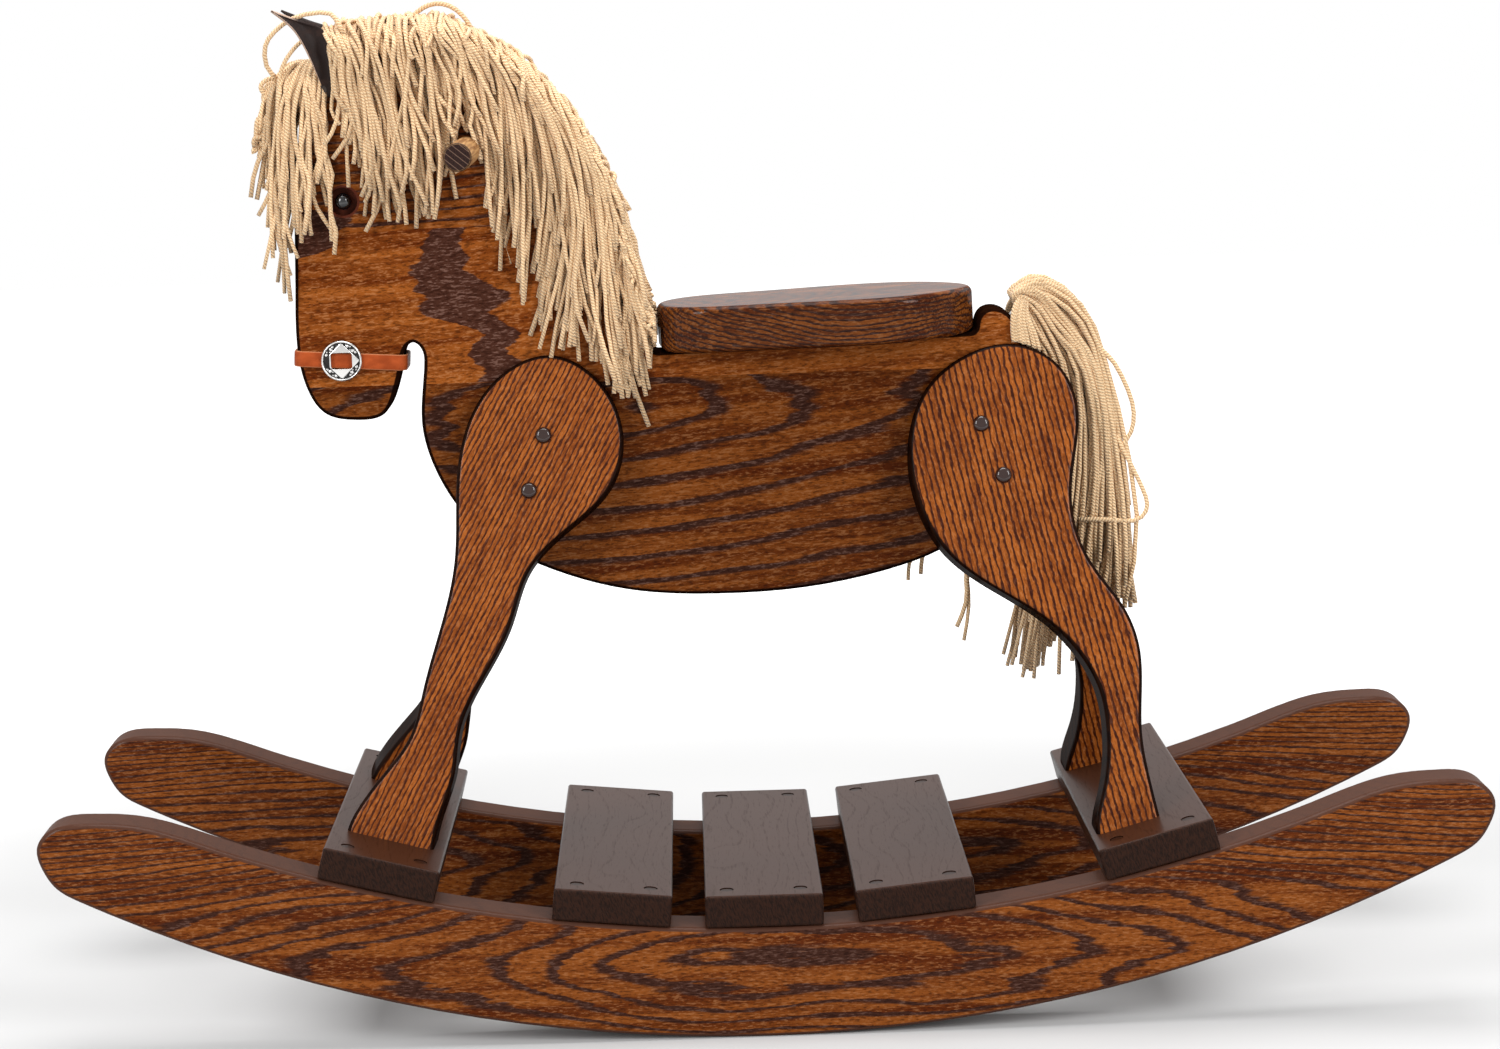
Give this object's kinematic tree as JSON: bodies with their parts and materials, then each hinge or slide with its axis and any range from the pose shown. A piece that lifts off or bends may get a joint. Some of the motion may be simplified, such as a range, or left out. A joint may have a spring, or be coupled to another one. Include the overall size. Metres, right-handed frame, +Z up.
{
  "type": "rocking horse",
  "caption": "Wooden rocking horse: flat profile-cut body on splayed legs and curved rockers, with saddle seat, handle dowel, foot slats, yarn mane and tail, leather noseband.",
  "frame": {"origin": "on the floor, midway between the rockers and midway between their ends, under the lowest point of the rocking curve", "axes": "+X from head to tail, +Y towards the horse's right side, +Z up"},
  "size_m": [0.9808, 0.292, 0.6944],
  "materials": {
    "body_oak": "satin",
    "front_leg_oak": "satin",
    "rear_leg_oak": "satin",
    "rocker_oak": "satin",
    "board_oak": "satin",
    "seat_oak": "satin",
    "handle_oak": "satin",
    "plug_wood": "satin",
    "steel": "satin",
    "eye_black": "gloss",
    "ear_leather": "matte",
    "strap_leather": "satin",
    "nickel": "gloss",
    "yarn": "matte",
    "tape": "matte"
  },
  "bodies": {
    "horse": {"body_board": "body_oak", "front_leg_left": "front_leg_oak", "front_leg_right": "front_leg_oak", "rear_leg_left": "rear_leg_oak", "rear_leg_right": "rear_leg_oak", "rocker_left": "rocker_oak", "rocker_right": "rocker_oak", "front_leg_board": "board_oak", "rear_leg_board": "board_oak", "foot_slat_front": "board_oak", "foot_slat_middle": "board_oak", "foot_slat_rear": "board_oak", "seat": "seat_oak", "handle_dowel": "handle_oak", "leg_plugs": "plug_wood", "board_plugs": "plug_wood", "seat_dowels": "plug_wood", "leg_screws": "steel", "board_screws": "steel", "foot_screws": "steel", "mane_tacks": "steel", "ear_tacks": "steel", "noseband_brads": "steel", "tail_staple": "steel", "eye_left": "eye_black", "eye_right": "eye_black", "ear_left": "ear_leather", "ear_right": "ear_leather", "noseband": "strap_leather", "concho_left": "nickel", "concho_right": "nickel", "mane_left": "yarn", "mane_right": "yarn", "forelock": "yarn", "mane_tape": "tape"},
    "tail": {"tail": "yarn"}
  },
  "joints": [
    {"name": "tail_swing", "type": "hinge", "parent": "horse", "child": "tail", "pos_m": [0.193, 0, 0.482], "axis": [0, -1, 0], "range_deg": [0, 25]}
  ]
}
